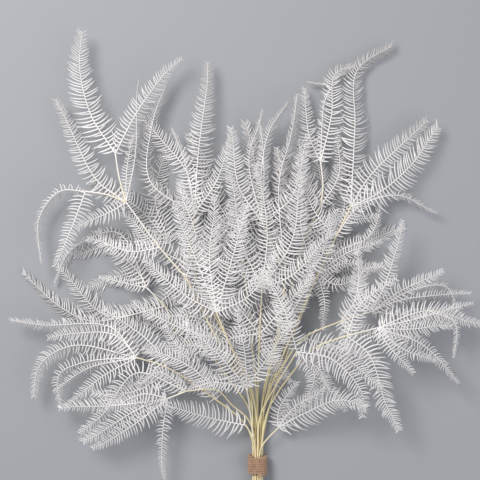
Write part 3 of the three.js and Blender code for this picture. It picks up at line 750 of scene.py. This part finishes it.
def twine_line(radius, turns, half, samples):
    """A helix round the bundle, whose axis is +Y, about the tie's middle."""
    share = np.linspace(0, 1, samples)
    angle = 2 * math.pi * turns * share
    return np.column_stack([radius * np.sin(angle), -half + 2 * half * share, radius * np.cos(angle)])


def twisted_strands(line, radius, lay, middle):
    """The middles of two strands that twist about a line round the bundle."""
    forward = unit(np.gradient(line, axis=0))
    outward = unit((line - middle) * [1, 0, 1])
    beside = np.cross(forward, outward)
    lengths = np.concatenate([[0], np.cumsum(np.linalg.norm(np.diff(line, axis=0), axis=1))])
    for start in (0, math.pi):
        angle = (start + 2 * math.pi * lengths / lay)[:, None]
        yield line + radius * STRAND_OFFSET * (np.cos(angle) * outward + np.sin(angle) * beside)


def round_tube(lofts, points, radii, sides, along):
    """A round tube along a line in any direction, with no twist."""
    forward = unit(np.gradient(points, axis=0))
    first = unit(np.cross(forward[0], [0.3, 1.0, 0.2]))
    rights = [first]
    for way in forward[1:]:
        right = rights[-1] - np.dot(rights[-1], way) * way
        rights.append(right / np.linalg.norm(right))
    right = np.array(rights)
    top = np.cross(forward, right)
    turn = np.linspace(0, 2 * math.pi, sides, endpoint=False)[None, :, None]
    rings = points[:, None] + np.asarray(radii)[:, None, None] * (
        np.cos(turn) * right[:, None] + np.sin(turn) * top[:, None]
    )
    lofts.add(rings[None], 0, np.asarray(along)[None, :, None], (turn / (2 * math.pi))[None, :, :, 0])


def wind_twine(material):
    settings = bpy.context.scene.fern_twine
    low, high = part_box("twine_tie")
    outer = (high[0] - low[0]) / 2 / MM
    half = (high[1] - low[1]) / 2 / MM
    strand = settings.strand / MM
    twine = strand * TWINE_WIDTH
    rng = np.random.default_rng(7)
    lofts = Lofts(FLOOR_GAP - TIE[2])
    middle = np.zeros(3)
    layers = [
        twine_line(outer - depth * twine, settings.turns - fewer, half - margin * twine, samples)
        for depth, margin, fewer, samples in TWINE_LAYERS
    ]
    for line in layers:
        for points in twisted_strands(line, strand, settings.lay / MM, middle):
            share = np.linspace(0, 1, len(points))
            long_lumps = LUMP_SIZES[1] * np.sin(share * LUMP_RATES[1] + 1)
            radii = strand * (1 + LUMP_SIZES[0] * np.sin(share * LUMP_RATES[0]) + long_lumps)
            round_tube(lofts, points, radii, STRAND_SIDES, share)
    for _ in range(settings.fibres):
        start = layers[0][rng.integers(len(layers[0]))]
        outward = unit(start * [1, 0, 1])
        way = unit(outward * rng.uniform(0.3, 0.9) + rng.normal(0, 0.7, 3))
        bend = rng.normal(0, 0.5, 3)
        reach = rng.uniform(*FIBRE_LENGTHS)
        share = np.linspace(0, 1, 6)[:, None]
        fibre = start + outward * twine * 0.6 + reach * (share * way + share**2 * bend)
        round_tube(lofts, fibre, FIBRE_RADIUS * (1 - 0.6 * share[:, 0]), FIBRE_SIDES, share[:, 0])
    piece = lofts.mesh("twine_wrap", [material], TIE)
    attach(piece, "root")
    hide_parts("twine_tie")
    return piece


# ---------------------------------------------------------------- materials


def link(tree, source, target):
    tree.links.new(source, target)


def new_group(name, inputs, outputs):
    """A shader node group with named float inputs and outputs, and its two end nodes."""
    group = bpy.data.node_groups.new(name, "ShaderNodeTree")
    for label, value in inputs:
        socket = group.interface.new_socket(label, in_out="INPUT", socket_type="NodeSocketFloat")
        socket.default_value = value
    for label in outputs:
        group.interface.new_socket(label, in_out="OUTPUT", socket_type="NodeSocketFloat")
    return group, group.nodes.new("NodeGroupInput"), group.nodes.new("NodeGroupOutput")


def math_node(tree, operation, first, second=None, third=None, clamp=False):
    node = tree.nodes.new("ShaderNodeMath")
    node.operation = operation
    node.use_clamp = clamp
    for socket, value in zip(node.inputs, (first, second, third)):
        if isinstance(value, (int, float)):
            socket.default_value = value
        elif value is not None:
            link(tree, value, socket)
    return node.outputs[0]


def mark(tree, name):
    """One of the marks that Lofts leaves on every point."""
    node = tree.nodes.new("ShaderNodeAttribute")
    node.attribute_name = name
    return node.outputs["Fac"]


def dry_mottle():
    """Soft patches and fine grain of a dried plant surface."""
    group, given, result = new_group(
        "dry_mottle", (("Patch Scale", 40.0), ("Grain Scale", 900.0)), ("Patches", "Grain")
    )
    place = group.nodes.new("ShaderNodeTexCoord")
    for label, output in (("Patch Scale", "Patches"), ("Grain Scale", "Grain")):
        noise = group.nodes.new("ShaderNodeTexNoise")
        noise.inputs["Detail"].default_value = 3
        link(group, place.outputs["Object"], noise.inputs["Vector"])
        link(group, given.outputs[label], noise.inputs["Scale"])
        spread = group.nodes.new("ShaderNodeMapRange")
        spread.inputs["From Min"].default_value = 0.32
        spread.inputs["From Max"].default_value = 0.68
        link(group, noise.outputs["Fac"], spread.inputs["Value"])
        link(group, spread.outputs["Result"], result.inputs[output])
    return group


def fibre_streaks():
    """Lengthwise fibres, from how far a point is along and across its part."""
    group, given, result = new_group(
        "fibre_streaks", (("Across Scale", 9.0), ("Along Scale", 3.0)), ("Streaks",)
    )
    parts = []
    for name, label in (("across", "Across Scale"), ("along", "Along Scale")):
        parts.append(math_node(group, "MULTIPLY", mark(group, name), given.outputs[label]))
    joined = group.nodes.new("ShaderNodeCombineXYZ")
    link(group, parts[0], joined.inputs["X"])
    link(group, parts[1], joined.inputs["Y"])
    noise = group.nodes.new("ShaderNodeTexNoise")
    noise.inputs["Scale"].default_value = 1
    noise.inputs["Detail"].default_value = 4
    link(group, joined.outputs["Vector"], noise.inputs["Vector"])
    link(group, noise.outputs["Fac"], result.inputs["Streaks"])
    return group


def place_group(tree, make, **values):
    """A node for a shader group, which is made by the function of its name when first wanted."""
    node = tree.nodes.new("ShaderNodeGroup")
    node.node_tree = bpy.data.node_groups.get(make.__name__) or make()
    for label, value in values.items():
        node.inputs[label.replace("_", " ")].default_value = value
    return node


def new_material(name, roughness):
    material = bpy.data.materials.new(name)
    material.use_nodes = True
    shader = material.node_tree.nodes["Principled BSDF"]
    shader.inputs["Roughness"].default_value = roughness
    return material, material.node_tree, shader


def mix_colours(tree, share, first, second):
    """first and second are colours or colour outputs."""
    node = tree.nodes.new("ShaderNodeMix")
    node.data_type = "RGBA"
    link(tree, share, node.inputs["Factor"])
    for socket, value in ((node.inputs[6], first), (node.inputs[7], second)):
        if isinstance(value, bpy.types.NodeSocket):
            link(tree, value, socket)
        else:
            socket.default_value = (*value, 1)
    return node.outputs[2]


def bump(tree, shader, height, distance, strength=1.0):
    node = tree.nodes.new("ShaderNodeBump")
    node.inputs["Distance"].default_value = distance
    node.inputs["Strength"].default_value = strength
    link(tree, height, node.inputs["Height"])
    link(tree, node.outputs["Normal"], shader.inputs["Normal"])


VEIN_CYCLE = 6.283  # radians


def bleached_leaf():
    """Bleached leaf: near white, matt, with a rib along each leaflet and fine veins from it."""
    colours = bpy.context.scene.fern_colours
    material, tree, shader = new_material("bleached_leaf", 0.72)
    shader.inputs["Specular IOR Level"].default_value = 0.3
    mottle = place_group(tree, dry_mottle, Patch_Scale=32.0, Grain_Scale=1500.0)
    along = mark(tree, "along")
    body = mix_colours(tree, mottle.outputs["Patches"], colours.leaf, colours.leaf_shade)
    side = math_node(tree, "ABSOLUTE", mark(tree, "across"))
    rib = math_node(tree, "SUBTRACT", 1.0, math_node(tree, "MULTIPLY", side, 4.0), clamp=True)
    near_foot = math_node(tree, "MULTIPLY", along, 2.2)
    foot = math_node(tree, "SUBTRACT", 1.0, near_foot, clamp=True)
    warm = math_node(tree, "MULTIPLY", math_node(tree, "MAXIMUM", rib, foot), 0.12)
    ribbed = mix_colours(tree, warm, body, colours.straw)
    withered = math_node(tree, "MULTIPLY", mark(tree, "age"), 0.75)
    link(tree, mix_colours(tree, withered, ribbed, colours.withered), shader.inputs["Base Color"])
    slant = math_node(tree, "ADD", math_node(tree, "MULTIPLY", along, 9.0), side)
    veins = math_node(tree, "SINE", math_node(tree, "MULTIPLY", slant, VEIN_CYCLE))
    height = math_node(tree, "ADD", math_node(tree, "MULTIPLY", veins, 0.35), mottle.outputs["Grain"])
    bump(tree, shader, height, 0.12 * MM, 0.6)
    return material


def straw_stem():
    """Dry straw-coloured stem: fine lengthwise fibres, greener in places."""
    colours = bpy.context.scene.fern_colours
    material, tree, shader = new_material("straw_stem", 0.5)
    mottle = place_group(tree, dry_mottle, Patch_Scale=22.0, Grain_Scale=900.0)
    streaks = place_group(tree, fibre_streaks, Across_Scale=6.0, Along_Scale=7.0)
    plain = mix_colours(tree, mottle.outputs["Patches"], colours.straw, colours.straw_green)
    streak = math_node(tree, "MULTIPLY_ADD", streaks.outputs["Streaks"], 3.4, -1.6, clamp=True)
    body = mix_colours(tree, math_node(tree, "MULTIPLY", streak, 0.55), plain, colours.straw_dark)
    pale = tree.nodes.new("ShaderNodeMapRange")
    pale.inputs["From Min"].default_value = 0.6
    pale.inputs["From Max"].default_value = 2.1
    pale.inputs["To Max"].default_value = 0.97
    link(tree, mark(tree, "along"), pale.inputs["Value"])
    colour = mix_colours(tree, pale.outputs["Result"], body, colours.leaf)
    link(tree, colour, shader.inputs["Base Color"])
    grain = math_node(tree, "MULTIPLY", mottle.outputs["Grain"], 0.3)
    height = math_node(tree, "ADD", streaks.outputs["Streaks"], grain)
    bump(tree, shader, height, 0.15 * MM, 0.7)
    return material


def jute_twine():
    """Brown jute: rough fibres that run along each strand. The darker streaks are partly darker fibres
    and partly painted shade between the fibres.
    """
    colours = bpy.context.scene.fern_colours
    material, tree, shader = new_material("jute_twine", 0.92)
    shader.inputs["Specular IOR Level"].default_value = 0.15
    shader.inputs["Sheen Weight"].default_value = 0.25
    shader.inputs["Sheen Roughness"].default_value = 0.6
    streaks = place_group(tree, fibre_streaks, Across_Scale=14.0, Along_Scale=160.0)
    mottle = place_group(tree, dry_mottle, Patch_Scale=260.0, Grain_Scale=2200.0)
    # Darker streaks along the fibres, darker still in random patches: partly darker fibres, partly
    # painted shade between the fibres.
    shade = math_node(tree, "MULTIPLY_ADD", streaks.outputs["Streaks"], 2.2, -0.6, clamp=True)
    patches = math_node(tree, "MULTIPLY", mottle.outputs["Patches"], 0.9)
    fibre_tone_and_shade = math_node(tree, "MULTIPLY", shade, patches)
    link(tree, mix_colours(tree, fibre_tone_and_shade, colours.twine, colours.twine_dark), shader.inputs["Base Color"])
    height = math_node(tree, "ADD", streaks.outputs["Streaks"], mottle.outputs["Grain"])
    bump(tree, shader, height, 0.3 * MM, 0.8)
    return material


def floor_finish():
    settings = bpy.context.scene.fern_stage
    material, _, shader = new_material("plain_floor", 0.9)
    shader.inputs["Base Color"].default_value = (*settings.floor, 1)
    shader.inputs["Specular IOR Level"].default_value = 0.1
    return material


# ---------------------------------------------------------------- stage


def area_light(name, place, aim, size, power, colour):
    light = bpy.data.lights.new(name, "AREA")
    light.shape = "DISK"
    light.size = size
    light.energy = power
    light.color = colour
    lamp = bpy.data.objects.new(name, light)
    lamp.location = place
    way = np.array(aim) - np.array(place)
    lamp.rotation_euler = direction_turn(way)
    bpy.context.scene.collection.objects.link(lamp)
    return lamp


def direction_turn(way):
    """Rotation that points an object's own -Z along a direction."""
    return Vector(way).to_track_quat("-Z", "Y").to_euler()


def set_floor():
    mesh = bpy.data.meshes.new("floor")
    reach = FLOOR_REACH
    corners = [(-reach, -reach, 0), (reach, -reach, 0), (reach, reach, 0), (-reach, reach, 0)]
    mesh.from_pydata(corners, [], [(0, 1, 2, 3)])
    mesh.materials.append(floor_finish())
    floor = bpy.data.objects.new("floor", mesh)
    bpy.context.scene.collection.objects.link(floor)


# Places, aims and sizes in metres.
KEY_LIGHT = dict(place=(-0.9, 0.9, 1.6), aim=(0, 0.05, 0), size=0.9, colour=(1.0, 0.985, 0.96))
FILL_LIGHT = dict(place=(1.3, -0.6, 1.4), aim=(0, 0, 0), size=1.6, colour=(0.96, 0.97, 1.0))
SKY_COLOUR = (0.95, 0.955, 1.0, 1)
SKY_STRENGTH = 0.4


def set_lights():
    settings = bpy.context.scene.fern_stage
    area_light("key", power=settings.key, **KEY_LIGHT)
    area_light("fill", power=settings.fill, **FILL_LIGHT)
    world = bpy.data.worlds.new("studio")
    world.use_nodes = True
    background = world.node_tree.nodes["Background"]
    background.inputs["Color"].default_value = SKY_COLOUR
    background.inputs["Strength"].default_value = SKY_STRENGTH
    bpy.context.scene.world = world


def set_tones():
    bpy.context.scene.view_settings.view_transform = "Standard"


def set_camera():
    """Looks straight down on the leaves, with the tie at the lower edge of the view."""
    settings = bpy.context.scene.fern_stage
    data = bpy.data.cameras.new("camera")
    data.lens = settings.lens
    data.clip_end = 20
    camera = bpy.data.objects.new("camera", data)
    distance = settings.width * data.lens / data.sensor_width
    x, y = TIE[:2] + VIEW_CENTRE
    camera.location = (x * MM, y * MM, PILE_HEIGHT / 2 * MM + distance)
    bpy.context.scene.collection.objects.link(camera)
    bpy.context.scene.camera = camera


# ---------------------------------------------------------------- operators and panel


class FERN_OT_grow_fronds(Operator):
    """Grow every frond of the bunch on its place in the frame"""

    bl_idname = "fern.grow_fronds"
    bl_label = "Grow Fronds"

    def execute(self, context):
        materials = [bleached_leaf(), straw_stem()]
        for frond in FRONDS:
            grow_frond(frond, materials)
        return {"FINISHED"}


class FERN_OT_wind_twine(Operator):
    """Wind the twine round the stems"""

    bl_idname = "fern.wind_twine"
    bl_label = "Wind Twine"

    def execute(self, context):
        wind_twine(jute_twine())
        return {"FINISHED"}


class FERN_OT_set_stage(Operator):
    """Lay the floor and set the lights and the camera"""

    bl_idname = "fern.set_stage"
    bl_label = "Set Stage"

    def execute(self, context):
        set_floor()
        set_lights()
        set_tones()
        set_camera()
        return {"FINISHED"}


class FERN_PT_bunch(Panel):
    """Lists the bunch's settings and steps"""

    bl_label = "Fern Bunch"
    bl_idname = "FERN_PT_bunch"
    bl_space_type = "VIEW_3D"
    bl_region_type = "UI"
    bl_category = "Fern"

    def draw(self, context):
        layout = self.layout
        for label, group, steps in PANEL_ROWS:
            box = layout.box()
            box.label(text=label)
            settings = getattr(context.scene, group)
            for name in settings.__annotations__:
                box.prop(settings, name)
            for step in steps:
                box.operator(step)


PANEL_ROWS = (
    ("Leaves", "fern_leaf", ("fern.grow_fronds",)),
    ("Stems", "fern_stem", ()),
    ("Colours", "fern_colours", ()),
    ("Twine", "fern_twine", ("fern.wind_twine",)),
    ("Stage", "fern_stage", ("fern.set_stage",)),
)
SETTINGS = {
    "fern_leaf": FernLeafSettings,
    "fern_stem": FernStemSettings,
    "fern_colours": FernColourSettings,
    "fern_twine": TwineSettings,
    "fern_stage": StageSettings,
}
CLASSES = (
    *SETTINGS.values(),
    FERN_OT_grow_fronds,
    FERN_OT_wind_twine,
    FERN_OT_set_stage,
    FERN_PT_bunch,
)


def register():
    for kind in CLASSES:
        bpy.utils.register_class(kind)
    for name, kind in SETTINGS.items():
        setattr(bpy.types.Scene, name, PointerProperty(type=kind))


def unregister():
    for name in SETTINGS:
        delattr(bpy.types.Scene, name)
    for kind in reversed(CLASSES):
        bpy.utils.unregister_class(kind)


def main():
    register()
    bpy.ops.fern.grow_fronds()
    bpy.ops.fern.wind_twine()
    bpy.ops.fern.set_stage()


if __name__ == "__main__":
    main()
